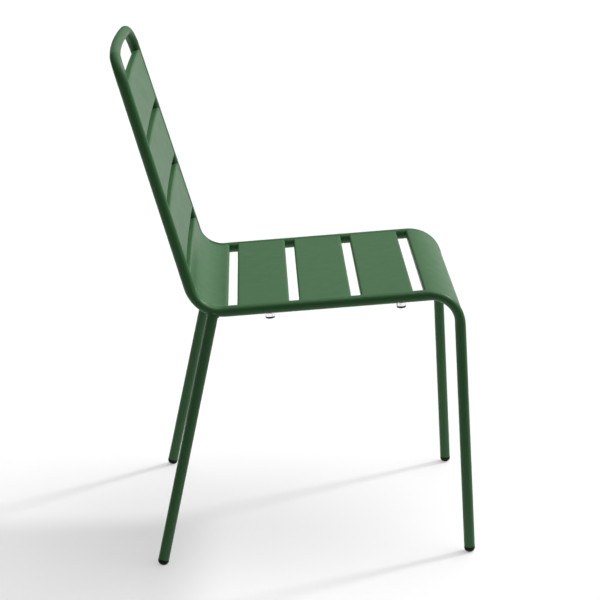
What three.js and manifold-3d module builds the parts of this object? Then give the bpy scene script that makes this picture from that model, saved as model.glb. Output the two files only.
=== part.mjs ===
// Stacking chair of bent steel tube with folded sheet slats.
// Millimetres, +Z up, the sitter faces -Y. Origin: on the floor, under the middle of the overall size.
// "left" is the sitter's left, +X.
import * as THREE from "three";
import { mergeVertices } from "three/addons/utils/BufferGeometryUtils.js";
import Module from "manifold-3d";

const wasm = await Module();
wasm.setup();

// ---- driving dimensions ----
const TUBE_R = 9;
const TUBE_WALL = 1.5;
const GAP = 0.3;
const ROUND = 16;
const MERGE_DISTANCE = 0.001;

// Side view of the tube centreline, as [y, z] corners before bending.
const FRONT_FOOT = [-285, 0];
const KNEE = [-264.7, 449.9];
const REAR_BEND = [159.6, 424.7];
const TOP_CORNER = [277, 835];
const KNEE_R = 50;
const REAR_BEND_R = 53;
const TOP_CORNER_R = 43;
const TUBE_START = 9.5;

// Half widths between tube centrelines.
const FRONT_FOOT_X = 210;
const RAIL_X = 200;
const TOP_X = 172;
const TOP_BOW = 8;

const REAR_FOOT = [232.4, 229.7, 0];
const REAR_LEG_JOINT = [200, 134.1, 426.2];
const REAR_LEG_SHORT = 3;

// Slats, as distances along the tube centreline from the front foot.
const SHEET = 1.5;
const SLAT_TOP = 7.5;
const FLANGE = 12;
const FOLD_R = 2.5;
const SLAT_TUCK = 1;
const SLAT_BOW = 2;
const SLATS = [
  { name: "front_slat", from: 398, to: 483.5 },
  { name: "seat_slat_1", from: 501.5, to: 586.5 },
  { name: "seat_slat_2", from: 602.5, to: 687.5 },
  { name: "seat_slat_3", from: 703.5, to: 788.5 },
  { name: "corner_slat", from: 804, to: 904, bowFrom: 0, bowTo: SLAT_BOW },
  { name: "back_slat_3", from: 921, to: 1010, bowFrom: SLAT_BOW, bowTo: SLAT_BOW },
  { name: "back_slat_2", from: 1026, to: 1117, bowFrom: SLAT_BOW, bowTo: SLAT_BOW },
  { name: "back_slat_1", from: 1132, to: 1225.5, bowFrom: SLAT_BOW, bowTo: SLAT_BOW },
];

const GLIDE_R = 9.2;
const GLIDE_STEM_R = TUBE_R - TUBE_WALL - GAP;
const GLIDE_STEM = 16;
const GLIDE_FLAT = 0.8;
const GLIDE_COLLAR = 2;
const GLIDE_CHAMFER = 0.6;

const BUMPER_R = 7.75;
const BUMPER_DROP = 7.5;
const BUMPER_STEM_R = 2.5;
const BUMPER_STEM = 4;
const BUMPER_CHAMFER = 1;
const BUMPERS = [
  { name: "front", along: 523 },
  { name: "rear", along: 736.5 },
];

const FLOOR_BLOCK = 2000;

// ---- finishes ----
const TUBE_PAINT = { color: 0x2e4a31, roughness: 0.45, metalness: 0 };
const SLAT_PAINT = { color: 0x4f7253, roughness: 0.48, metalness: 0 };
const BLACK_PLASTIC = { color: 0x17191a, roughness: 0.5, metalness: 0 };
const CLEAR_PLASTIC = { color: 0xdfe6e2, roughness: 0.1, metalness: 0 };

// ---- side view of the bent tube ----
// Straight and arc pieces through the corners, read by distance along the centreline.
function sideProfile() {
  const corners = [FRONT_FOOT, KNEE, REAR_BEND, TOP_CORNER].map(([y, z]) => new THREE.Vector2(y, z));
  const radii = [KNEE_R, REAR_BEND_R];
  const pieces = [];
  let cursor = corners[0];
  radii.forEach((radius, i) => {
    const corner = corners[i + 1];
    const inDir = corner.clone().sub(corners[i]).normalize();
    const outDir = corners[i + 2].clone().sub(corner).normalize();
    const turn = inDir.cross(outDir) > 0 ? inDir.angleTo(outDir) : -inDir.angleTo(outDir);
    const setback = radius * Math.tan(Math.abs(turn) / 2);
    const start = corner.clone().addScaledVector(inDir, -setback);
    pieces.push({ start: cursor, dir: inDir, length: start.distanceTo(cursor), turn: 0 });
    pieces.push({ start, dir: inDir, length: radius * Math.abs(turn), turn });
    cursor = corner.clone().addScaledVector(outDir, setback);
    if (i === radii.length - 1) {
      pieces.push({ start: cursor, dir: outDir, length: cursor.distanceTo(corners[i + 2]), turn: 0 });
    }
  });
  return pieces;
}

const PROFILE = sideProfile();
const KNEE_START = PROFILE[0].length;
const KNEE_END = KNEE_START + PROFILE[1].length;
const REAR_START = KNEE_END + PROFILE[2].length;
const REAR_END = REAR_START + PROFILE[3].length;
const PROFILE_END = REAR_END + PROFILE[4].length;

// Point and direction in the side view at a distance along the tube.
function sideAt(distance) {
  let rest = distance;
  let piece = PROFILE[0];
  for (const candidate of PROFILE) {
    piece = candidate;
    if (rest <= candidate.length) break;
    if (candidate !== PROFILE[PROFILE.length - 1]) rest -= candidate.length;
  }
  const origin = new THREE.Vector2(0, 0);
  if (piece.turn === 0) {
    return { point: piece.start.clone().addScaledVector(piece.dir, rest), dir: piece.dir.clone() };
  }
  const angle = (piece.turn * rest) / piece.length;
  const side = Math.sign(piece.turn);
  const centre = piece.dir.clone().rotateAround(origin, (side * Math.PI) / 2);
  centre.multiplyScalar(piece.length / Math.abs(piece.turn)).add(piece.start);
  return {
    point: piece.start.clone().rotateAround(centre, angle),
    dir: piece.dir.clone().rotateAround(origin, angle),
  };
}

// Normal in the side view that points to the sitter's side of the tube.
function sitterNormal(dir) {
  return new THREE.Vector2(-dir.y, dir.x);
}

// Half width between centrelines: splayed legs, parallel rails, tapered back.
function halfWidth(distance) {
  const legSlope = (RAIL_X - FRONT_FOOT_X) / (KNEE_START + PROFILE[1].length / 2);
  const backSlope = (TOP_X - RAIL_X) / (PROFILE_END - (REAR_START + REAR_END) / 2);
  const kneeBend = THREE.MathUtils.clamp((distance - KNEE_START) / PROFILE[1].length, 0, 1);
  const legPart = Math.min(distance, KNEE_START) + PROFILE[1].length * (kneeBend - kneeBend ** 2 / 2);
  const rearBend = THREE.MathUtils.clamp((distance - REAR_START) / PROFILE[3].length, 0, 1);
  const backPart = Math.max(0, distance - REAR_END) + (PROFILE[3].length * rearBend ** 2) / 2;
  return FRONT_FOOT_X + legSlope * legPart + backSlope * backPart;
}

// Centreline point of one side of the frame.
function railPoint(distance, side) {
  const { point } = sideAt(distance);
  return new THREE.Vector3(side * halfWidth(distance), point.x, point.y);
}

function railTangent(distance, side) {
  const step = 0.5;
  return railPoint(distance + step, side).sub(railPoint(distance - step, side)).normalize();
}

// ---- tube sweeps ----
// A path through fixed stations, so long straights stay one facet long.
class StationPath extends THREE.Curve {
  constructor(stations) {
    super();
    this.stations = stations;
  }
  getPoint(t) {
    return this.stations[Math.round(t * (this.stations.length - 1))].point.clone();
  }
  getPointAt(u) {
    return this.getPoint(u);
  }
  getTangentAt(u) {
    return this.stations[Math.round(u * (this.stations.length - 1))].tangent.clone();
  }
}

function circle(radius) {
  const points = [];
  for (let i = 0; i < ROUND; i += 1) {
    const angle = (2 * Math.PI * (i + 0.5)) / ROUND;
    points.push(new THREE.Vector2(radius * Math.cos(angle), radius * Math.sin(angle)));
  }
  return points;
}

function sweepTube(stations, outer, inner) {
  const shape = new THREE.Shape(circle(outer));
  if (inner > 0) shape.holes.push(new THREE.Path(circle(inner)));
  return new THREE.ExtrudeGeometry(shape, {
    steps: stations.length - 1,
    extrudePath: new StationPath(stations),
    bevelEnabled: false,
  });
}

// Distances that need a station: the ends of each bend and steps inside it.
function railDistances() {
  const steps = 6;
  const distances = [TUBE_START];
  for (let i = 0; i <= steps; i += 1) {
    distances.push(KNEE_START + ((KNEE_END - KNEE_START) * i) / steps);
  }
  for (let i = 0; i <= steps; i += 1) {
    distances.push(REAR_START + ((REAR_END - REAR_START) * i) / steps);
  }
  return distances;
}

// The top corner and half of the top rail, from the upright on the given side to the middle.
function topStations(side) {
  const corner = railPoint(PROFILE_END, side);
  const upward = railTangent(PROFILE_END - 1, side);
  const inward = new THREE.Vector3(-side, 0, 0);
  const turn = upward.angleTo(inward);
  const setback = TOP_CORNER_R * Math.tan(turn / 2);
  const toCentre = inward.clone().addScaledVector(upward, -inward.dot(upward)).normalize();
  const start = corner.clone().addScaledVector(upward, -setback);
  const centre = start.clone().addScaledVector(toCentre, TOP_CORNER_R);
  const cornerSteps = 7;
  const railSteps = 3;
  const stations = [];
  for (let i = 0; i <= cornerSteps; i += 1) {
    const angle = (turn * i) / cornerSteps;
    const point = centre.clone().addScaledVector(toCentre, -TOP_CORNER_R * Math.cos(angle));
    point.addScaledVector(upward, TOP_CORNER_R * Math.sin(angle));
    const tangent = upward.clone().multiplyScalar(Math.cos(angle));
    tangent.addScaledVector(toCentre, Math.sin(angle));
    stations.push({ point, tangent });
  }
  const railStart = stations[cornerSteps].point.x;
  for (let i = 1; i <= railSteps; i += 1) {
    const point = stations[cornerSteps].point.clone();
    point.x = railStart * (1 - i / railSteps);
    stations.push({ point, tangent: inward.clone() });
  }
  return stations.map(bowStation);
}

// The top rail and its corners are bowed back, most in the middle.
function bowStation({ point, tangent }) {
  const share = point.x / TOP_X;
  const bowed = point.clone();
  bowed.y += TOP_BOW * Math.max(0, 1 - share ** 2);
  const lean = (-2 * TOP_BOW * share) / TOP_X;
  const turned = tangent.clone();
  turned.y += lean * tangent.x;
  return { point: bowed, tangent: turned.normalize() };
}

function frameStations() {
  const half = railDistances().map((distance) => ({
    point: railPoint(distance, 1),
    tangent: railTangent(distance, 1),
  }));
  half.push(...topStations(1));
  const mirrored = half
    .slice(0, -1)
    .reverse()
    .map(({ point, tangent }) => ({
      point: new THREE.Vector3(-point.x, point.y, point.z),
      tangent: new THREE.Vector3(tangent.x, -tangent.y, -tangent.z),
    }));
  return [...half, ...mirrored];
}

// ---- joins and cuts ----
function toSolid(geometry) {
  const bare = new THREE.BufferGeometry();
  const source = geometry.index ? geometry.toNonIndexed() : geometry;
  bare.setAttribute("position", source.getAttribute("position").clone());
  const merged = mergeVertices(bare, MERGE_DISTANCE);
  return new wasm.Manifold(
    new wasm.Mesh({
      numProp: 3,
      vertProperties: merged.attributes.position.array,
      triVerts: new Uint32Array(merged.index.array),
    }),
  );
}

function toGeometry(solid) {
  const mesh = solid.getMesh();
  const geometry = new THREE.BufferGeometry();
  const positions = new Float32Array(mesh.numVert * 3);
  for (let i = 0; i < mesh.numVert; i += 1) {
    for (let k = 0; k < 3; k += 1) positions[3 * i + k] = mesh.vertProperties[i * mesh.numProp + k];
  }
  geometry.setAttribute("position", new THREE.BufferAttribute(positions, 3));
  geometry.setIndex(Array.from(mesh.triVerts));
  geometry.computeVertexNormals();
  return geometry;
}

const STATIONS = frameStations();
const FRAME_BODY = toSolid(sweepTube(STATIONS, TUBE_R + GAP, 0));

// ---- slats ----
// Mid-line of a slat in the side view: face along the tube with a fold at each edge.
function slatMidline(slat) {
  const offset = SLAT_TOP - SHEET / 2;
  const foldSteps = 3;
  const faceStep = 9;
  const start = slat.from + SHEET / 2 + FOLD_R;
  const end = slat.to - SHEET / 2 - FOLD_R;
  const onFace = (distance) => {
    const { point, dir } = sideAt(distance);
    const normal = sitterNormal(dir);
    return { point: point.addScaledVector(normal, offset), dir, normal };
  };
  const fold = (distance, sign) => {
    const { point, dir, normal } = onFace(distance);
    const centre = point.clone().addScaledVector(normal, -FOLD_R);
    const run = [];
    for (let i = 0; i <= foldSteps; i += 1) {
      const angle = (Math.PI / 2) * (i / foldSteps);
      const out = normal.clone().multiplyScalar(Math.cos(angle)).addScaledVector(dir, sign * Math.sin(angle));
      run.push({ point: centre.clone().addScaledVector(out, FOLD_R), out, along: sign < 0 ? 0 : 1 });
    }
    const tip = run[foldSteps].point.clone().addScaledVector(normal, -(FLANGE - FOLD_R - SHEET / 2));
    run.push({ point: tip, out: run[foldSteps].out, along: sign < 0 ? 0 : 1 });
    return run;
  };
  const crossesRearBend = end > REAR_START && start < REAR_END;
  const isBent = crossesRearBend || start < KNEE_END;
  const count = isBent ? Math.round((end - start) / faceStep) : 1;
  const face = [];
  for (let i = 1; i < count; i += 1) {
    const { point, normal } = onFace(start + ((end - start) * i) / count);
    face.push({ point, out: normal, along: i / count });
  }
  return [...fold(start, -1).reverse(), ...face, ...fold(end, 1)];
}

// The sheet is the mid-line thickened, extruded across the chair, bowed back, and cut to the tubes.
function slatGeometry(slat) {
  const midline = slatMidline(slat);
  const half = SHEET / 2;
  const outer = midline.map(({ point, out }) => point.clone().addScaledVector(out, half));
  const inner = midline.map(({ point, out }) => point.clone().addScaledVector(out, -half));
  const shape = new THREE.Shape([...outer, ...inner.reverse()]);
  const middle = sideAt((slat.from + slat.to) / 2);
  const reach = halfWidth((slat.from + slat.to) / 2) - SLAT_TUCK;
  const isBowed = slat.bowTo !== undefined;
  const steps = isBowed ? 10 : 1;
  const geometry = new THREE.ExtrudeGeometry(shape, { depth: 2 * reach, steps, bevelEnabled: false });
  geometry.translate(0, 0, -reach);
  geometry.applyMatrix4(new THREE.Matrix4().set(0, 0, 1, 0, 1, 0, 0, 0, 0, 1, 0, 0, 0, 0, 0, 1));
  if (isBowed) bowBack(geometry, slat, sitterNormal(middle.dir), reach);
  return toGeometry(toSolid(geometry).subtract(FRAME_BODY));
}

// Pushes the middle of a slat away from the sitter.
function bowBack(geometry, slat, normal, reach) {
  const position = geometry.getAttribute("position");
  const first = sideAt(slat.from).point;
  const span = sideAt(slat.to).point.sub(first);
  for (let i = 0; i < position.count; i += 1) {
    const here = new THREE.Vector2(position.getY(i), position.getZ(i)).sub(first);
    const along = THREE.MathUtils.clamp(here.dot(span) / span.lengthSq(), 0, 1);
    const depth = THREE.MathUtils.lerp(slat.bowFrom, slat.bowTo, THREE.MathUtils.smoothstep(along, 0, 1));
    const push = -depth * (1 - (position.getX(i) / reach) ** 2);
    position.setY(i, position.getY(i) + push * normal.x);
    position.setZ(i, position.getZ(i) + push * normal.y);
  }
}

// ---- rear legs ----
function legAxis(side) {
  const foot = new THREE.Vector3(side * REAR_FOOT[0], REAR_FOOT[1], REAR_FOOT[2]);
  const joint = new THREE.Vector3(side * REAR_LEG_JOINT[0], REAR_LEG_JOINT[1], REAR_LEG_JOINT[2]);
  return { foot, joint, dir: joint.clone().sub(foot).normalize() };
}

// The leg's top is fish-mouthed to the frame tube.
function rearLegGeometry(side) {
  const { foot, joint, dir } = legAxis(side);
  const stations = [
    { point: foot.clone().addScaledVector(dir, TUBE_START), tangent: dir },
    { point: joint.clone().addScaledVector(dir, -REAR_LEG_SHORT), tangent: dir },
  ];
  const leg = toSolid(sweepTube(stations, TUBE_R, TUBE_R - TUBE_WALL));
  return toGeometry(leg.subtract(FRAME_BODY));
}

// ---- foot glides ----
// Stem in the leg's bore, collar under its end, and a dome cut flat where it meets the floor.
function glideGeometry(foot, dir) {
  const domeTop = TUBE_START - GAP;
  const domeSteps = 5;
  const low = -GLIDE_FLAT;
  const domeHeight = domeTop - GLIDE_COLLAR - low;
  const profile = [new THREE.Vector2(0, low)];
  for (let i = 1; i <= domeSteps; i += 1) {
    const angle = (Math.PI / 2) * (i / domeSteps);
    profile.push(new THREE.Vector2(GLIDE_R * Math.sin(angle), low + domeHeight * (1 - Math.cos(angle))));
  }
  profile.push(new THREE.Vector2(GLIDE_R, domeTop - GLIDE_CHAMFER));
  profile.push(new THREE.Vector2(GLIDE_R - GLIDE_CHAMFER, domeTop));
  profile.push(new THREE.Vector2(GLIDE_STEM_R, domeTop));
  profile.push(new THREE.Vector2(GLIDE_STEM_R, domeTop + GLIDE_STEM));
  profile.push(new THREE.Vector2(0, domeTop + GLIDE_STEM));
  const lathe = new THREE.LatheGeometry(profile, ROUND);
  lathe.rotateX(Math.PI / 2);
  lathe.applyQuaternion(new THREE.Quaternion().setFromUnitVectors(new THREE.Vector3(0, 0, 1), dir));
  lathe.translate(foot.x, foot.y, foot.z);
  const floor = new THREE.BoxGeometry(FLOOR_BLOCK, FLOOR_BLOCK, FLOOR_BLOCK);
  floor.translate(0, 0, -FLOOR_BLOCK / 2);
  return toGeometry(toSolid(lathe).subtract(toSolid(floor)));
}

// ---- stacking bumpers ----
function bumperPose(along, side) {
  const { dir } = sideAt(along);
  const normal = sitterNormal(dir);
  return { origin: railPoint(along, side), down: new THREE.Vector3(0, -normal.x, -normal.y) };
}

function placeOnRail(geometry, along, side) {
  const { origin, down } = bumperPose(along, side);
  geometry.rotateX(Math.PI / 2);
  geometry.applyQuaternion(new THREE.Quaternion().setFromUnitVectors(new THREE.Vector3(0, 0, 1), down));
  geometry.translate(origin.x, origin.y, origin.z);
  return geometry;
}

// A disc saddled to the tube, held by a stem through the tube wall.
function bumperGeometry(along, side) {
  const face = TUBE_R + BUMPER_DROP;
  const disc = [
    new THREE.Vector2(0, TUBE_R - BUMPER_STEM),
    new THREE.Vector2(BUMPER_R, TUBE_R - BUMPER_STEM),
    new THREE.Vector2(BUMPER_R, face - BUMPER_CHAMFER),
    new THREE.Vector2(BUMPER_R - BUMPER_CHAMFER, face),
    new THREE.Vector2(0, face),
  ];
  const stem = [
    new THREE.Vector2(0, TUBE_R - BUMPER_STEM),
    new THREE.Vector2(BUMPER_STEM_R, TUBE_R - BUMPER_STEM),
    new THREE.Vector2(BUMPER_STEM_R, face - BUMPER_CHAMFER),
    new THREE.Vector2(0, face - BUMPER_CHAMFER),
  ];
  const [discSolid, stemSolid] = [disc, stem].map((profile) =>
    toSolid(placeOnRail(new THREE.LatheGeometry(profile, ROUND), along, side)),
  );
  return toGeometry(discSolid.subtract(FRAME_BODY).add(stemSolid));
}

// Holes for the bumper stems through the lower wall of each rail.
function frameGeometry() {
  let frame = toSolid(sweepTube(STATIONS, TUBE_R, TUBE_R - TUBE_WALL));
  for (const side of [1, -1]) {
    for (const { along } of BUMPERS) {
      const drill = new THREE.CylinderGeometry(BUMPER_STEM_R + GAP, BUMPER_STEM_R + GAP, TUBE_R, ROUND);
      drill.translate(0, TUBE_R, 0);
      frame = frame.subtract(toSolid(placeOnRail(drill, along, side)));
    }
  }
  return toGeometry(frame);
}

// ---- assembly ----
const chair = new THREE.Group();
chair.name = "stacking_chair";

function addPart(name, geometry, finish) {
  const mesh = new THREE.Mesh(geometry, new THREE.MeshStandardMaterial(finish));
  mesh.name = name;
  chair.add(mesh);
}

addPart("frame_tube", frameGeometry(), TUBE_PAINT);
for (const slat of SLATS) addPart(slat.name, slatGeometry(slat), SLAT_PAINT);

for (const [label, side] of [
  ["left", 1],
  ["right", -1],
]) {
  addPart(`rear_leg_${label}`, rearLegGeometry(side), TUBE_PAINT);
  const { foot, dir } = legAxis(side);
  addPart(`glide_rear_${label}`, glideGeometry(foot, dir), BLACK_PLASTIC);
  addPart(`glide_front_${label}`, glideGeometry(railPoint(0, side), railTangent(1, side)), BLACK_PLASTIC);
  for (const { name, along } of BUMPERS) {
    addPart(`bumper_${name}_${label}`, bumperGeometry(along, side), CLEAR_PLASTIC);
  }
}

export default chair;
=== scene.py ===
"""Stacking chair of bent green tube with folded sheet slats, on a white studio floor."""
import math

import bpy
import numpy as np
from mathutils import Matrix, Vector


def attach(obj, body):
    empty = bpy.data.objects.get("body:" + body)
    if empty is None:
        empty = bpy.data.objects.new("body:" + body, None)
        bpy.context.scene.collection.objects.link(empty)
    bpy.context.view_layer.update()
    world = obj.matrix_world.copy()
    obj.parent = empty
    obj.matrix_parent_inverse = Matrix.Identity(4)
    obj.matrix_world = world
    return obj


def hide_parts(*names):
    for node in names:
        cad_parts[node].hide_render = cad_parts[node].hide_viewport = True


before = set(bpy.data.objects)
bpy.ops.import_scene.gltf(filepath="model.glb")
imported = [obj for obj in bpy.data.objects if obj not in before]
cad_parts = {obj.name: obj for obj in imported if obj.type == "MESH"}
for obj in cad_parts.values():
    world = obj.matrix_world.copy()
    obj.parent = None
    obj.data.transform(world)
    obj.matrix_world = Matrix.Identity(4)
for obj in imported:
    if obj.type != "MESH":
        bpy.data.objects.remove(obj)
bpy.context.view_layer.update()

MM = 0.001

# ---- dimensions shared with the CAD solids, in millimetres ----
TUBE_R = 9.0
TUBE_WALL = 1.5
TOP_RAIL_R = 8.82
FRONT_FOOT = (-285.0, 0.0)
KNEE = (-264.7, 449.9)
REAR_BEND = (159.6, 424.7)
TOP_CORNER = (277.0, 835.0)
KNEE_R = 50.0
REAR_BEND_R = 53.0
TOP_CORNER_R = 43.0
TUBE_START = 9.5
FRONT_FOOT_X = 210.0
RAIL_X = 200.0
TOP_X = 172.0
TOP_BOW = 8.0
REAR_FOOT = (232.4, 229.7, 0.0)
REAR_LEG_JOINT = (200.0, 134.1, 426.2)
SHEET = 1.5
SLAT_TOP = 7.5
FLANGE = 12.0
FOLD_R = 2.5
SLAT_BOW = 2.0
# Each slat's two edges along the tube from the front foot, and its bow at each of them.
SLATS = {
    "front_slat": (398.0, 483.5, 0.0, 0.0),
    "seat_slat_1": (501.5, 586.5, 0.0, 0.0),
    "seat_slat_2": (602.5, 687.5, 0.0, 0.0),
    "seat_slat_3": (703.5, 788.5, 0.0, 0.0),
    "corner_slat": (804.0, 904.0, 0.0, SLAT_BOW),
    "back_slat_3": (921.0, 1010.0, SLAT_BOW, SLAT_BOW),
    "back_slat_2": (1026.0, 1117.0, SLAT_BOW, SLAT_BOW),
    "back_slat_1": (1132.0, 1225.5, SLAT_BOW, SLAT_BOW),
}
BUMPERS = {"front": 523.0, "rear": 736.5}
BUMPER_R = 7.75
BUMPER_DROP = 7.5
GLIDE_R = 9.15
SIDES = {"left": 1, "right": -1}

# ---- the tube's visible surface, in millimetres ----
# A bend squeezes the tube in its own plane and spreads it across, as shares of its radius. The change
# starts BEND_LEAD before the bend and is full BEND_BLEND further on.
SQUEEZE = 0.09
SPREAD = 0.045
BEND_LEAD = 6.0
BEND_BLEND = 24.0
# Stations are BEND_STEP apart in the bends and for BEND_MARGIN on both sides of them.
BEND_MARGIN = 12.0
BEND_STEP = 2.5
LEG_STEP = 40.0
RAIL_STEP = 30.0
REAR_LEG_STEP = 60.0
CORNER_STEPS = 28
TOP_RAIL_STEPS = 12
TUBE_SIDES = 48
# The upright's last station is this many corner radii below the corner point, clear of the bend.
UPRIGHT_SETBACK = 1.12
# Directions along the tube are measured between points this far to each side.
HALF_STEP = 0.5

# ---- sheet and welds, in millimetres ----
FOLD_STEPS = 6
SHEET_STEP = 3.0
SLAT_EDGE_ROUND = 0.35
FLAT_COLUMNS = 8
BOWED_COLUMNS = 32
# A slat's end sinks WELD_SINK into the tube's skin. A sheet point further from the tube's middle than
# OUTLINE_SHARE of its radius ends where one at that share would.
WELD_SINK = 0.3
OUTLINE_SHARE = 0.98
# A weld's ripples repeat every RIPPLE_POINTS points along it.
RIPPLE_POINTS = 4.0
# The rear leg's plain end stops this far short of the joint point, inside the frame tube.
REAR_LEG_GAP = 3.0


# ---- side view of the bent tube ----
def side_pieces():
    """Straights and bends from the front foot to the top, as (start, direction, length, turn)."""
    corners = [np.array(c) for c in (FRONT_FOOT, KNEE, REAR_BEND, TOP_CORNER)]
    pieces = []
    cursor = corners[0]
    for i, radius in enumerate((KNEE_R, REAR_BEND_R)):
        into = corners[i + 1] - corners[i]
        into /= np.linalg.norm(into)
        out = corners[i + 2] - corners[i + 1]
        out /= np.linalg.norm(out)
        turn = math.atan2(into[0] * out[1] - into[1] * out[0], into @ out)
        setback = radius * math.tan(abs(turn) / 2)
        start = corners[i + 1] - into * setback
        pieces.append((cursor, into, np.linalg.norm(start - cursor), 0.0))
        pieces.append((start, into, radius * abs(turn), turn))
        cursor = corners[i + 1] + out * setback
    pieces.append((cursor, out, np.linalg.norm(corners[3] - cursor), 0.0))
    return pieces


PIECES = side_pieces()
ENDS = np.cumsum([piece[2] for piece in PIECES])
KNEE_START, KNEE_END, REAR_START, REAR_END, PROFILE_END = ENDS


def turned(vector, angle):
    c, s = math.cos(angle), math.sin(angle)
    return np.array([c * vector[0] - s * vector[1], s * vector[0] + c * vector[1]])


def side_at(distance):
    """Point and direction (y, z) at a distance along the tube from the front foot."""
    index = min(int(np.searchsorted(ENDS, distance)), len(PIECES) - 1)
    start, direction, length, turn = PIECES[index]
    rest = distance - (ENDS[index] - length)
    if turn == 0:
        return start + direction * rest, direction
    centre = start + turned(direction, math.copysign(math.pi / 2, turn)) * length / abs(turn)
    angle = turn * rest / length
    return centre + turned(start - centre, angle), turned(direction, angle)


def half_width(distance):
    """Half the width between the centrelines of the two sides."""
    knee_len = KNEE_END - KNEE_START
    rear_len = REAR_END - REAR_START
    leg_slope = (RAIL_X - FRONT_FOOT_X) / (KNEE_START + knee_len / 2)
    back_slope = (TOP_X - RAIL_X) / (PROFILE_END - (REAR_START + REAR_END) / 2)
    knee = min(max((distance - KNEE_START) / knee_len, 0), 1)
    leg_part = min(distance, KNEE_START) + knee_len * (knee - knee**2 / 2)
    rear = min(max((distance - REAR_START) / rear_len, 0), 1)
    back_part = max(0, distance - REAR_END) + rear_len * rear**2 / 2
    return FRONT_FOOT_X + leg_slope * leg_part + back_slope * back_part


def sitter_normal(direction):
    return np.array([-direction[1], direction[0]])


def rail_point(distance, side=1):
    point, _ = side_at(distance)
    return np.array([side * half_width(distance), point[0], point[1]])


def unit(vector):
    return vector / np.linalg.norm(vector)


def smooth(value):
    value = min(max(value, 0.0), 1.0)
    return value * value * (3 - 2 * value)


def bend_share(run, length):
    """0 away from a bend of this length, 1 well inside it, at a run from its start."""
    return smooth((run + BEND_LEAD) / BEND_BLEND) * smooth((length + BEND_LEAD - run) / BEND_BLEND)


def tube_radii(distance):
    """Radius towards the sitter and radius across, where a bend flattens the tube."""
    share = bend_share(distance - KNEE_START, KNEE_END - KNEE_START)
    share += bend_share(distance - REAR_START, REAR_END - REAR_START)
    return TUBE_R * (1 - SQUEEZE * share), TUBE_R * (1 + SPREAD * share)


# ---- mesh helpers ----
def new_object(name, vertices, faces, material, nodes, smooth_angle=35):
    mesh = bpy.data.meshes.new(name)
    mesh.from_pydata([tuple(np.asarray(v) * MM) for v in vertices], [], faces)
    mesh.validate()
    obj = bpy.data.objects.new(name, mesh)
    bpy.context.scene.collection.objects.link(obj)
    mesh.shade_smooth()
    mesh.set_sharp_from_angle(angle=math.radians(smooth_angle))
    mesh.materials.append(material)
    if nodes:
        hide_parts(*nodes)
    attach(obj, "root")
    return obj


def bevel(obj, width, segments=2, angle=40):
    modifier = obj.modifiers.new("edge_round", "BEVEL")
    modifier.width = width * MM
    modifier.segments = segments
    modifier.limit_method = "ANGLE"
    modifier.angle_limit = math.radians(angle)
    modifier.harden_normals = True


def ring_faces(count, rings, closed_ends=True):
    """Faces that join rings of count points each, one after the other."""
    faces = []
    for i in range(rings - 1):
        for j in range(count):
            a = i * count + j
            b = i * count + (j + 1) % count
            faces.append((a, b, b + count, a + count))
    if closed_ends:
        faces.append(tuple(reversed(range(count))))
        last = (rings - 1) * count
        faces.append(tuple(last + j for j in range(count)))
    return faces


def tube_mesh(stations):
    """A hollow tube through stations of (centre, towards, across, radius towards, radius across)."""
    vertices = []
    for inset in (0.0, TUBE_WALL):
        for centre, towards, across, r_towards, r_across in stations:
            for j in range(TUBE_SIDES):
                angle = 2 * math.pi * j / TUBE_SIDES
                vertices.append(
                    centre
                    + towards * (r_towards - inset) * math.cos(angle)
                    + across * (r_across - inset) * math.sin(angle)
                )
    outer = ring_faces(TUBE_SIDES, len(stations), closed_ends=False)
    offset = len(stations) * TUBE_SIDES
    inner = [tuple(reversed([i + offset for i in face])) for face in outer]
    last = offset - TUBE_SIDES
    caps = []
    for j in range(TUBE_SIDES):
        k = (j + 1) % TUBE_SIDES
        caps.append((k, j, j + offset, k + offset))
        caps.append((last + j, last + k, last + k + offset, last + j + offset))
    return vertices, outer + inner + caps


def lathe(profile, around, place):
    """Rings of (radius, height) turned about an axis; place maps local x, y, z to the chair."""
    vertices = []
    for radius, height in profile:
        for j in range(around):
            angle = 2 * math.pi * j / around
            vertices.append(place(radius * math.cos(angle), radius * math.sin(angle), height))
    return vertices, ring_faces(around, len(profile))


# ---- materials ----
def node_material(name):
    material = bpy.data.materials.new(name)
    material.use_nodes = True
    nodes = material.node_tree.nodes
    return material, nodes, material.node_tree.links, nodes["Principled BSDF"]


def grey(value):
    return (value, value, value, 1)


def object_noise(nodes, links, scale, detail=3.0, roughness=0.55):
    texture = nodes.new("ShaderNodeTexNoise")
    texture.inputs["Scale"].default_value = scale
    texture.inputs["Detail"].default_value = detail
    texture.inputs["Roughness"].default_value = roughness
    coordinates = nodes.new("ShaderNodeTexCoord")
    links.new(coordinates.outputs["Object"], texture.inputs["Vector"])
    return texture


def ramp(nodes, links, source, low, high):
    """Colours between two stops of (position, colour)."""
    node = nodes.new("ShaderNodeValToRGB")
    for element, (position, color) in zip(node.color_ramp.elements, (low, high)):
        element.position = position
        element.color = color
    links.new(source, node.inputs["Fac"])
    return node


def add_bump(nodes, links, shader, height, strength, distance):
    bump = nodes.new("ShaderNodeBump")
    bump.inputs["Strength"].default_value = strength
    bump.inputs["Distance"].default_value = distance
    links.new(height, bump.inputs["Height"])
    links.new(bump.outputs["Normal"], shader.inputs["Normal"])


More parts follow.
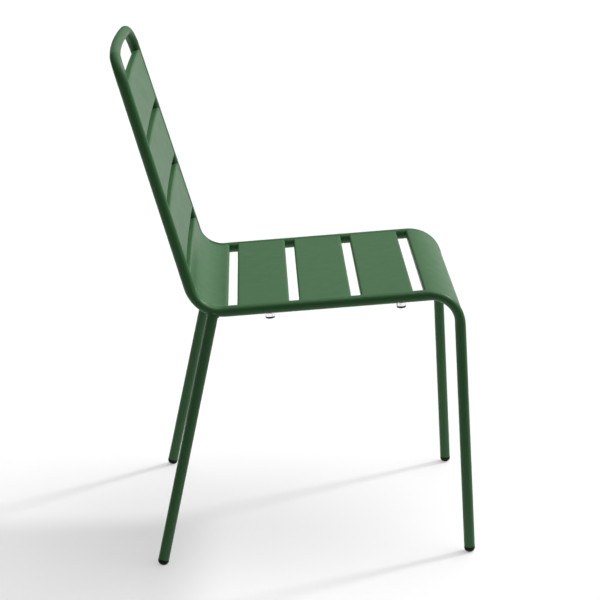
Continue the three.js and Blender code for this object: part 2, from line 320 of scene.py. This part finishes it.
def powder_coat(name, dark, light, roughness, specular):
    """Satin powder coat: fine orange peel, small mottling in colour and gloss."""
    material, nodes, links, shader = node_material(name)
    noise_low, noise_high = 0.3, 0.7
    glossier, duller = roughness - 0.03, roughness + 0.04
    grain_share = 0.35
    broad = object_noise(nodes, links, scale=14.0, detail=4.0)
    low, high = (noise_low, (*dark, 1)), (noise_high, (*light, 1))
    colour = ramp(nodes, links, broad.outputs["Fac"], low, high)
    links.new(colour.outputs["Color"], shader.inputs["Base Color"])
    patch = object_noise(nodes, links, scale=55.0)
    gloss = nodes.new("ShaderNodeMapRange")
    gloss.inputs["From Min"].default_value = noise_low
    gloss.inputs["From Max"].default_value = noise_high
    gloss.inputs["To Min"].default_value = glossier
    gloss.inputs["To Max"].default_value = duller
    links.new(patch.outputs["Fac"], gloss.inputs["Value"])
    links.new(gloss.outputs["Result"], shader.inputs["Roughness"])
    peel = object_noise(nodes, links, scale=900.0, detail=2.0, roughness=0.45)
    grain = object_noise(nodes, links, scale=3200.0, detail=1.0)
    relief = nodes.new("ShaderNodeMath")
    relief.operation = "MULTIPLY_ADD"
    relief.inputs[1].default_value = grain_share
    links.new(grain.outputs["Fac"], relief.inputs[0])
    links.new(peel.outputs["Fac"], relief.inputs[2])
    add_bump(nodes, links, shader, relief.outputs["Value"], strength=0.09, distance=0.00015)
    shader.inputs["IOR"].default_value = 1.45
    shader.inputs["Specular IOR Level"].default_value = specular
    return material


def moulded_black():
    """Matt black plastic with a fine moulded grain."""
    material, nodes, links, shader = node_material("moulded_black")
    noise = object_noise(nodes, links, scale=260.0, detail=4.0)
    low, high = (0.35, (0.0045, 0.0050, 0.0048, 1)), (0.7, (0.0085, 0.0090, 0.0086, 1))
    colour = ramp(nodes, links, noise.outputs["Fac"], low, high)
    links.new(colour.outputs["Color"], shader.inputs["Base Color"])
    rough = ramp(nodes, links, noise.outputs["Fac"], (0.3, grey(0.42)), (0.8, grey(0.58)))
    links.new(rough.outputs["Color"], shader.inputs["Roughness"])
    shader.inputs["Specular IOR Level"].default_value = 0.12
    fine = object_noise(nodes, links, scale=2400.0, detail=2.0)
    add_bump(nodes, links, shader, fine.outputs["Fac"], strength=0.2, distance=0.0001)
    return material


def clear_plastic():
    """Clear moulded plastic, with painted shade in its colour where it is seen edge on."""
    material, nodes, links, shader = node_material("clear_plastic")
    facing = nodes.new("ShaderNodeLayerWeight")
    facing.inputs["Blend"].default_value = 0.5
    # Painted shade: the colour darkens to grey where the surface is seen edge on, standing in for the dark
    # surroundings seen through its edges.
    face_on, edge_shade = (0.72, (0.97, 0.98, 0.975, 1)), (0.97, (0.12, 0.13, 0.12, 1))
    shaded_tint = ramp(nodes, links, facing.outputs["Facing"], face_on, edge_shade)
    links.new(shaded_tint.outputs["Color"], shader.inputs["Base Color"])
    shader.inputs["Transmission Weight"].default_value = 0.96
    shader.inputs["IOR"].default_value = 1.46
    haze = object_noise(nodes, links, scale=300.0)
    rough = ramp(nodes, links, haze.outputs["Fac"], (0.3, grey(0.04)), (0.75, grey(0.12)))
    links.new(rough.outputs["Color"], shader.inputs["Roughness"])
    return material


def rim_painted_shade():
    """Painted shade on the outer half of a bumper's thick lower rim: a near-black colour where the clear
    rim looks dark.
    """
    material, nodes, links, shader = node_material("rim_painted_shade")
    noise = object_noise(nodes, links, scale=420.0)
    low, high = (0.3, (0.010, 0.011, 0.011, 1)), (0.7, (0.022, 0.024, 0.023, 1))
    tone = ramp(nodes, links, noise.outputs["Fac"], low, high)
    links.new(tone.outputs["Color"], shader.inputs["Base Color"])
    gloss = ramp(nodes, links, noise.outputs["Fac"], (0.3, grey(0.16)), (0.7, grey(0.28)))
    links.new(gloss.outputs["Color"], shader.inputs["Roughness"])
    shader.inputs["Specular IOR Level"].default_value = 0.1
    return material


# Tubes and slats share one green paint. The slat copy is a little lighter, which is painted light, and the
# tube copy a little darker, which is painted shade, for how each catches the light.
SHADED_TUBE_PAINT = powder_coat(
    "tube_paint", dark=(0.0290, 0.108, 0.0325), light=(0.0310, 0.115, 0.0348), roughness=0.44, specular=0.30
)
LIT_SLAT_PAINT = powder_coat(
    "slat_paint", dark=(0.0300, 0.112, 0.0338), light=(0.0320, 0.119, 0.0362), roughness=0.48, specular=0.42
)
WELD_PAINT = powder_coat(
    "weld_paint", dark=(0.0280, 0.104, 0.0315), light=(0.0308, 0.114, 0.0345), roughness=0.46, specular=0.34
)
BLACK = moulded_black()
CLEAR = clear_plastic()
RIM_SHADE = rim_painted_shade()


# ---- frame tube ----
def side_station(distance):
    ahead, behind = rail_point(distance + HALF_STEP), rail_point(distance - HALF_STEP)
    tangent = unit(ahead - behind)
    _, direction = side_at(distance)
    normal = sitter_normal(direction)
    towards = np.array([0.0, normal[0], normal[1]])
    towards = unit(towards - tangent * (towards @ tangent))
    across = np.cross(tangent, towards)
    return (rail_point(distance), towards, across, *tube_radii(distance))


def top_stations():
    """The top corner and half of the bowed top rail, left side, up to the middle."""
    corner = rail_point(PROFILE_END)
    upward = unit(rail_point(PROFILE_END - HALF_STEP) - rail_point(PROFILE_END - 3 * HALF_STEP))
    inward = np.array([-1.0, 0.0, 0.0])
    turn = math.acos(upward @ inward)
    to_centre = unit(inward - upward * (inward @ upward))
    start = corner - upward * TOP_CORNER_R * math.tan(turn / 2)
    centre = start + to_centre * TOP_CORNER_R
    _, direction = side_at(PROFILE_END)
    normal = sitter_normal(direction)
    facing = np.array([0.0, normal[0], normal[1]])
    points = []
    for i in range(CORNER_STEPS + 1):
        angle = turn * i / CORNER_STEPS
        point = centre - to_centre * TOP_CORNER_R * math.cos(angle)
        point = point + upward * TOP_CORNER_R * math.sin(angle)
        tangent = upward * math.cos(angle) + to_centre * math.sin(angle)
        share = bend_share(TOP_CORNER_R * angle, TOP_CORNER_R * turn)
        points.append((point, tangent, share))
    rail_start = points[-1][0]
    for i in range(1, TOP_RAIL_STEPS + 1):
        point = rail_start.copy()
        point[0] = rail_start[0] * (1 - i / TOP_RAIL_STEPS)
        points.append((point, inward, 0.0))
    stations = []
    for step, (point, tangent, share) in enumerate(points):
        radius = TUBE_R + (TOP_RAIL_R - TUBE_R) * smooth(step / CORNER_STEPS)
        along = point[0] / TOP_X
        bowed = point + np.array([0.0, TOP_BOW * max(0.0, 1 - along**2), 0.0])
        tangent = tangent + np.array([0.0, -2 * TOP_BOW * along / TOP_X * tangent[0], 0.0])
        tangent = unit(tangent)
        towards = unit(facing - tangent * (facing @ tangent))
        across = np.cross(tangent, towards)
        stations.append(
            (bowed, towards, across, radius * (1 + SPREAD * share), radius * (1 - SQUEEZE * share))
        )
    return stations


def spaced(start, end, step):
    """Evenly spaced values from start up to, but without, the end."""
    count = max(1, int(round((end - start) / step)))
    return [start + (end - start) * i / count for i in range(count)]


def build_frame():
    upright_end = PROFILE_END - TOP_CORNER_R * UPRIGHT_SETBACK
    distances = spaced(TUBE_START, KNEE_START - BEND_MARGIN, LEG_STEP)
    distances += spaced(KNEE_START - BEND_MARGIN, KNEE_END + BEND_MARGIN, BEND_STEP)
    distances += spaced(KNEE_END + BEND_MARGIN, REAR_START - BEND_MARGIN, RAIL_STEP)
    distances += spaced(REAR_START - BEND_MARGIN, REAR_END + BEND_MARGIN, BEND_STEP)
    distances += spaced(REAR_END + BEND_MARGIN, upright_end, RAIL_STEP)
    half = [side_station(distance) for distance in distances] + top_stations()
    mirror = np.array([-1.0, 1.0, 1.0])
    other = []
    for centre, towards, across, r_towards, r_across in reversed(half[:-1]):
        other.append((centre * mirror, towards * mirror, across * mirror, r_towards, r_across))
    vertices, faces = tube_mesh(half + other)
    new_object("chair_frame_tube", vertices, faces, SHADED_TUBE_PAINT, ["frame_tube"])


# ---- slats ----
def slat_section(start, end):
    """Mid-line of the folded sheet as (distance, offset, outward direction) points."""
    middle = SLAT_TOP - SHEET / 2
    first = start + SHEET / 2 + FOLD_R
    last = end - SHEET / 2 - FOLD_R
    flange_length = FLANGE - SHEET / 2 - FOLD_R
    section = []

    def add_flange(edge, way, share):
        section.append((edge + way * FOLD_R, middle - FOLD_R - flange_length * share, way, 0.0))

    def add_fold(edge, way, angle):
        along, up = math.sin(angle), math.cos(angle)
        section.append((edge + way * FOLD_R * along, middle - FOLD_R + FOLD_R * up, way * along, up))

    for share in (1.0, 0.5):
        add_flange(first, -1.0, share)
    for i in range(FOLD_STEPS + 1):
        add_fold(first, -1.0, math.pi / 2 * (1 - i / FOLD_STEPS))
    for distance in spaced(first, last, SHEET_STEP)[1:]:
        section.append((distance, middle, 0.0, 1.0))
    for i in range(FOLD_STEPS + 1):
        add_fold(last, 1.0, math.pi / 2 * i / FOLD_STEPS)
    for share in (0.5, 1.0):
        add_flange(last, 1.0, share)
    return section


def slat_point(distance, offset, start, end):
    """A sheet point in the side view. Folded edges stay square to the tube where they leave it."""
    anchor = min(max(distance, start + FOLD_R), end - FOLD_R)
    point, direction = side_at(anchor)
    return point + direction * (distance - anchor) + sitter_normal(direction) * offset, direction


def slat_reach(distance, offset):
    """Where the sheet meets the tube, a little inside its skin."""
    r_towards, r_across = tube_radii(distance)
    depth = min(abs(offset) / (r_towards - WELD_SINK), OUTLINE_SHARE)
    return half_width(distance) - (r_across - WELD_SINK) * math.sqrt(1 - depth**2)


def build_slat(name, start, end, bow_from, bow_to):
    section = slat_section(start, end)
    half = SHEET / 2
    loop = [(d - a * half, o - n * half) for d, o, a, n in section]
    loop += [(d + a * half, o + n * half) for d, o, a, n in reversed(section)]
    _, middle_direction = side_at((start + end) / 2)
    back = -sitter_normal(middle_direction)
    columns = BOWED_COLUMNS if bow_to else FLAT_COLUMNS
    vertices = []
    for column in range(columns + 1):
        share = -1 + 2 * column / columns
        for distance, offset in loop:
            point, _ = slat_point(distance, offset, start, end)
            along = smooth((distance - start) / (end - start))
            depth = (bow_from + (bow_to - bow_from) * along) * (1 - share**2)
            bowed = point + back * depth
            x = share * slat_reach(distance, offset)
            vertices.append(np.array([x, bowed[0], bowed[1]]))
    faces = ring_faces(len(loop), columns + 1)
    obj = new_object("chair_" + name, vertices, faces, LIT_SLAT_PAINT, [name], smooth_angle=50)
    bevel(obj, SLAT_EDGE_ROUND)
    build_slat_welds(name, start, end)


def bead(path, outs, radius):
    """Vertices and faces of a closed bead with small ripples and rounded ends, along an open path."""
    around, ripple, end_size = 10, 0.09, 0.05
    vertices = []
    last = len(path) - 1
    for i, (point, out) in enumerate(zip(path, outs)):
        tangent = unit(path[min(i + 1, last)] - path[max(i - 1, 0)])
        first = unit(out - tangent * (out @ tangent))
        second = np.cross(tangent, first)
        taper = math.sqrt(max(end_size, 1 - (2 * i / last - 1) ** 4))
        size = radius * taper * (1 + ripple * math.sin(2 * math.pi * i / RIPPLE_POINTS))
        for j in range(around):
            angle = 2 * math.pi * j / around
            vertices.append(point + first * size * math.cos(angle) + second * size * math.sin(angle))
    return vertices, ring_faces(around, len(path))


def build_slat_welds(name, start, end):
    """Fillet beads inside both folded edges, where the slat meets the tube on each side."""
    bead_r, bead_top, bead_bottom, bead_points = 1.35, 4.4, -3.6, 21
    edge_inset = SHEET + 0.3
    tube_gap = 0.5
    sideways = 0.7
    vertices, faces = [], []
    for side in SIDES.values():
        for distance in (start + edge_inset, end - edge_inset):
            path, outs = [], []
            for offset in np.linspace(bead_top, bead_bottom, bead_points):
                point, direction = slat_point(distance, offset, start, end)
                reach = slat_reach(distance, offset) - tube_gap
                inward = direction if distance < (start + end) / 2 else -direction
                path.append(np.array([side * reach, point[0], point[1]]))
                outs.append(np.array([-side * sideways, inward[0], inward[1]]))
            ring, quads = bead(path, outs, bead_r)
            first = len(vertices)
            vertices += ring
            faces += [tuple(first + k for k in quad) for quad in quads]
    new_object("weld_" + name, vertices, faces, WELD_PAINT, None, smooth_angle=80)


# ---- rear legs and their welds ----
def leg_axis(side):
    """Foot, joint point and direction of a rear leg."""
    foot = np.array([side * REAR_FOOT[0], REAR_FOOT[1], REAR_FOOT[2]])
    joint = np.array([side * REAR_LEG_JOINT[0], REAR_LEG_JOINT[1], REAR_LEG_JOINT[2]])
    return foot, joint, unit(joint - foot)


def frame_gap(point, rail, radii):
    """Distance from a point to the skin of the frame tube, given points along its centreline."""
    gaps = np.linalg.norm(rail - point, axis=1)
    nearest = int(np.argmin(gaps))
    return gaps[nearest] - radii[nearest]


def leg_frame(direction):
    towards = unit(np.array([0.0, -1.0, 0.0]) + direction * direction[1])
    return towards, np.cross(direction, towards)


def fish_mouth(side, around):
    """Points where the leg's skin meets the frame tube's underside, found by halving."""
    search, past_bend, rail_step, halvings = 40.0, 5.0, 0.25, 18
    foot, joint, direction = leg_axis(side)
    towards, across = leg_frame(direction)
    length = np.linalg.norm(joint - foot)
    along = np.arange(REAR_START - search, REAR_END + past_bend, rail_step)
    rail = np.array([rail_point(distance, side) for distance in along])
    radii = np.array([tube_radii(distance)[0] for distance in along])
    ring = []
    for j in range(around):
        angle = 2 * math.pi * j / around
        skin = towards * math.cos(angle) + across * math.sin(angle)
        low, high = length - search, length
        for _ in range(halvings):
            middle = (low + high) / 2
            if frame_gap(foot + direction * middle + skin * TUBE_R, rail, radii) > 0:
                low = middle
            else:
                high = middle
        ring.append((foot + direction * low + skin * TUBE_R, skin))
    return ring


def build_rear_leg(label, side):
    foot, joint, direction = leg_axis(side)
    towards, across = leg_frame(direction)
    leg_end = np.linalg.norm(joint - foot) - REAR_LEG_GAP
    stations = []
    for run in spaced(TUBE_START, leg_end, REAR_LEG_STEP) + [leg_end]:
        stations.append((foot + direction * run, towards, across, TUBE_R, TUBE_R))
    vertices, faces = tube_mesh(stations)
    name = "rear_leg_" + label
    new_object("chair_" + name, vertices, faces, SHADED_TUBE_PAINT, [name])
    build_weld_ring("weld_rear_leg_" + label, fish_mouth(side, around=96), direction)


def build_weld_ring(name, ring, direction):
    """A fillet bead with small stacked ripples, following a closed ring of points."""
    around, height_r, ripple = 12, 2.1, 0.10
    width_share = 0.8
    stand_off, drop = 0.2, 0.4
    vertices = []
    for i, (point, skin) in enumerate(ring):
        before, after = ring[i - 1][0], ring[(i + 1) % len(ring)][0]
        tangent = unit(after - before)
        out = unit(skin - tangent * (skin @ tangent))
        up = np.cross(tangent, out)
        radius = height_r * (1.0 + ripple * math.sin(2 * math.pi * i / RIPPLE_POINTS))
        centre = point + out * stand_off - direction * drop
        for j in range(around):
            angle = 2 * math.pi * j / around
            sideways = out * radius * width_share * math.cos(angle)
            vertices.append(centre + sideways + up * radius * math.sin(angle))
    count = len(ring)
    faces = []
    for i in range(count):
        k = (i + 1) % count
        for j in range(around):
            m = (j + 1) % around
            faces.append((i * around + j, i * around + m, k * around + m, k * around + j))
    new_object(name, vertices, faces, WELD_PAINT, None, smooth_angle=80)


# ---- small parts ----
def axis_frame(axis):
    """Two directions square to an axis and to each other."""
    near_x = abs(axis[0]) >= 0.9
    helper = np.array([0.0, 1.0, 0.0]) if near_x else np.array([1.0, 0.0, 0.0])
    first = unit(np.cross(axis, helper))
    return first, np.cross(axis, first)


def build_glide(label, foot, direction):
    """Domed plug, cut flat at the floor, with a collar, a mould seam and a stem inside the tube."""
    around, dome_steps = 56, 14
    tip, tip_r = -0.8, 0.6
    top = TUBE_START - 0.1
    dome_height = top - 2.4 - tip
    stem_r, stem_end_r, stem_length, stem_chamfer = 7.0, 6.2, 12.0, 1.0
    first, second = axis_frame(direction)
    profile = [(tip_r, tip)]
    for i in range(1, dome_steps + 1):
        angle = math.pi / 2 * i / dome_steps
        profile.append((GLIDE_R * math.sin(angle), tip + dome_height * (1 - math.cos(angle))))
    seam_and_collar = [(0.0, 1.5), (0.12, 0.9), (0.05, 0.55), (0.35, 0.1), (0.8, 0.0)]
    profile += [(GLIDE_R - inset, top - below) for inset, below in seam_and_collar]
    profile += [
        (stem_r, top),
        (stem_r, top + stem_length),
        (stem_end_r, top + stem_length + stem_chamfer),
    ]

    def place(x, y, height):
        point = foot + first * x + second * y + direction * height
        point[2] = max(point[2], 0.0)
        return point

    vertices, faces = lathe(profile, around, place)
    name = "glide_" + label
    new_object("chair_" + name, vertices, faces, BLACK, [name], smooth_angle=40)


def build_bumper(label, distance, side):
    """Clear disc saddled to the rail's underside, with a rounded lower rim."""
    around, rim_steps = 64, 5
    rim_r, lip, dish = 1.2, 0.6, 0.5
    rail_gap, least_wall = 0.05, 0.2
    _, direction = side_at(distance)
    normal = sitter_normal(direction)
    down = np.array([0.0, -normal[0], -normal[1]])
    ahead = np.array([0.0, direction[0], direction[1]])
    across = np.cross(down, ahead)
    centre = rail_point(distance, side)
    face = TUBE_R + BUMPER_DROP
    # A height of None follows the rail's underside.
    profile = [(1.0, None), (4.0, None), (BUMPER_R - 0.5, None), (BUMPER_R, None)]
    profile += [(BUMPER_R, face - 4.0), (BUMPER_R, face - 2.8)]
    rim_from = len(profile) - 1
    profile.append((BUMPER_R, face - rim_r))
    for i in range(1, rim_steps + 1):
        angle = math.pi / 2 * i / rim_steps
        inset, rise = rim_r * (1 - math.cos(angle)), rim_r * (1 - math.sin(angle))
        profile.append((BUMPER_R - inset, face - rise))
    flat_r = BUMPER_R - 2 * rim_r
    profile += [(flat_r, face), (flat_r - lip, face - dish)]
    rim_to = len(profile) - 1
    profile.append((0.8, face - dish))
    vertices = []
    for radius, height in profile:
        for j in range(around):
            angle = 2 * math.pi * j / around
            x, y = radius * math.cos(angle), radius * math.sin(angle)
            saddle = math.sqrt(TUBE_R**2 - y**2) + rail_gap
            depth = saddle if height is None else max(height, saddle + least_wall)
            vertices.append(centre + ahead * x + across * y + down * depth)
    faces = ring_faces(around, len(profile))
    name = f"bumper_{label}"
    obj = new_object("chair_" + name, vertices, faces, CLEAR, [name], smooth_angle=40)
    # The outer half of the lower rim gets the painted shade material.
    obj.data.materials.append(RIM_SHADE)
    for polygon in obj.data.polygons:
        ring, column = divmod(min(polygon.vertices), around)
        outward = side * math.sin(2 * math.pi * (column + 0.5) / around)
        if rim_from <= ring < rim_to and outward > 0:
            polygon.material_index = 1


# ---- the chair ----
build_frame()
for slat_name, slat in SLATS.items():
    build_slat(slat_name, *slat)
for side_name, side_sign in SIDES.items():
    build_rear_leg(side_name, side_sign)
    leg_foot, _, leg_direction = leg_axis(side_sign)
    build_glide("rear_" + side_name, leg_foot, leg_direction)
    front_foot = rail_point(0, side_sign)
    front_direction = unit(rail_point(TUBE_START, side_sign) - front_foot)
    build_glide("front_" + side_name, front_foot, front_direction)
    for bumper_name, bumper_distance in BUMPERS.items():
        build_bumper(f"{bumper_name}_{side_name}", bumper_distance, side_sign)


# ---- studio, in metres ----
def studio_object(name, vertices, faces):
    mesh = bpy.data.meshes.new(name)
    mesh.from_pydata(vertices, [], faces)
    obj = bpy.data.objects.new(name, mesh)
    bpy.context.scene.collection.objects.link(obj)
    return obj


def upward_rectangle(name, x_from, x_to, y_reach, height):
    corners = [(x_from, -y_reach), (x_to, -y_reach), (x_to, y_reach), (x_from, y_reach)]
    return studio_object(name, [(x, y, height) for x, y in corners], [(0, 1, 2, 3)])


def set_glow(shader, strength):
    shader.inputs["Emission Color"].default_value = grey(1)
    shader.inputs["Emission Strength"].default_value = strength


def build_floor():
    """A matt light grey floor with a glow of its own, which brings it up to white."""
    reach = 40.0
    floor = upward_rectangle("studio_floor", -reach, reach, reach, 0)
    material, nodes, links, shader = node_material("studio_floor")
    noise = object_noise(nodes, links, scale=3.0, detail=2.0)
    tone = ramp(nodes, links, noise.outputs["Fac"], (0.3, grey(0.475)), (0.7, grey(0.485)))
    links.new(tone.outputs["Color"], shader.inputs["Base Color"])
    shader.inputs["Roughness"].default_value = 0.9
    shader.inputs["Specular IOR Level"].default_value = 0.0
    set_glow(shader, 0.46)
    floor.data.materials.append(material)


def build_backdrop():
    """A white ring wall far behind everything, seen only where a view takes in the horizon."""
    radius, height, count = 39.0, 24.0, 64
    vertices = []
    for level in (0.0, height):
        for i in range(count):
            angle = 2 * math.pi * i / count
            vertices.append((radius * math.cos(angle), radius * math.sin(angle), level))
    wall = studio_object("studio_backdrop", vertices, ring_faces(count, 2, closed_ends=False))
    material, _, _, shader = node_material("studio_backdrop")
    shader.inputs["Base Color"].default_value = grey(0.2)
    set_glow(shader, 1.0)
    wall.data.materials.append(material)
    wall.visible_diffuse = False
    wall.visible_glossy = False
    wall.visible_shadow = False


def build_flag():
    """A dim card on the floor beside the chair, seen only by bounced light, which darkens that side.

    It is clear from below, so the floor under it is lit as usual.
    """
    reach, near_edge, lift = 30.0, -0.44, 0.0005
    flag = upward_rectangle("studio_flag", -reach, near_edge, reach, lift)
    material, nodes, links, shader = node_material("studio_flag")
    shader.inputs["Base Color"].default_value = grey(0)
    shader.inputs["Specular IOR Level"].default_value = 0.0
    set_glow(shader, 0.50)
    face = nodes.new("ShaderNodeNewGeometry")
    clear = nodes.new("ShaderNodeBsdfTransparent")
    one_sided = nodes.new("ShaderNodeMixShader")
    links.new(face.outputs["Backfacing"], one_sided.inputs[0])
    links.new(shader.outputs["BSDF"], one_sided.inputs[1])
    links.new(clear.outputs["BSDF"], one_sided.inputs[2])
    links.new(one_sided.outputs["Shader"], nodes["Material Output"].inputs["Surface"])
    flag.data.materials.append(material)
    flag.visible_camera = False
    flag.visible_shadow = False
    flag.visible_transmission = False


def add_sun(name, heading, elevation, spread, strength):
    """A distant soft light; heading is the horizontal direction towards it, the angles are in degrees."""
    data = bpy.data.lights.new(name, "SUN")
    data.energy = strength * math.pi
    data.angle = math.radians(spread)
    light = bpy.data.objects.new(name, data)
    flat = Vector((heading[0], heading[1], 0)).normalized() * math.cos(math.radians(elevation))
    towards = Vector((flat.x, flat.y, math.sin(math.radians(elevation))))
    light.rotation_euler = (-towards).to_track_quat("-Z", "Y").to_euler()
    bpy.context.scene.collection.objects.link(light)


def build_world(towards_glow, falloff, strength):
    """A soft glow from one side of the sky, fading to black a quarter turn away from it."""
    world = bpy.data.worlds.new("studio")
    world.use_nodes = True
    nodes, links = world.node_tree.nodes, world.node_tree.links
    direction = nodes.new("ShaderNodeTexCoord")
    towards = nodes.new("ShaderNodeVectorMath")
    towards.operation = "DOT_PRODUCT"
    towards.inputs[1].default_value = towards_glow
    links.new(direction.outputs["Generated"], towards.inputs[0])
    clamp = nodes.new("ShaderNodeMath")
    clamp.operation = "MAXIMUM"
    clamp.inputs[1].default_value = 0.0
    links.new(towards.outputs["Value"], clamp.inputs[0])
    lobe = nodes.new("ShaderNodeMath")
    lobe.operation = "POWER"
    lobe.inputs[1].default_value = falloff
    links.new(clamp.outputs["Value"], lobe.inputs[0])
    background = nodes["Background"]
    links.new(lobe.outputs["Value"], background.inputs["Color"])
    background.inputs["Strength"].default_value = strength
    bpy.context.scene.world = world


def build_camera(place, heading, tilt, roll, lens):
    """Looks along heading, from +X towards +Y, at tilt above the horizon, and rolls about that line.

    The place is in metres, the angles are in degrees and the lens is in millimetres.
    """
    data = bpy.data.cameras.new("camera")
    data.sensor_width = 36.0
    data.lens = lens
    camera = bpy.data.objects.new("camera", data)
    turn = Matrix.Rotation(math.radians(heading - 90), 4, "Z")
    tip = Matrix.Rotation(math.radians(tilt + 90), 4, "X")
    lean = Matrix.Rotation(math.radians(roll), 4, "Z")
    camera.matrix_world = Matrix.Translation(place) @ turn @ tip @ lean
    bpy.context.scene.collection.objects.link(camera)
    bpy.context.scene.camera = camera


TOWARDS_KEY = (0.462, -0.887)
TOWARDS_TOP_LIGHT = (0.1, -0.2)
TOWARDS_GLOW = (0.90, -0.43, 0.0)

build_floor()
build_backdrop()
build_flag()
build_world(TOWARDS_GLOW, falloff=3.0, strength=0.62)
add_sun("key_light", TOWARDS_KEY, elevation=38, spread=7, strength=0.54)
add_sun("soft_light", TOWARDS_KEY, elevation=62, spread=60, strength=0.71)
add_sun("top_light", TOWARDS_TOP_LIGHT, elevation=80, spread=110, strength=0.20)
build_camera(place=(-3.2658, 0.0645, 1.3518), heading=-1.327, tilt=-16.497, roll=-0.909, lens=118.51)
bpy.context.scene.view_settings.view_transform = "Standard"
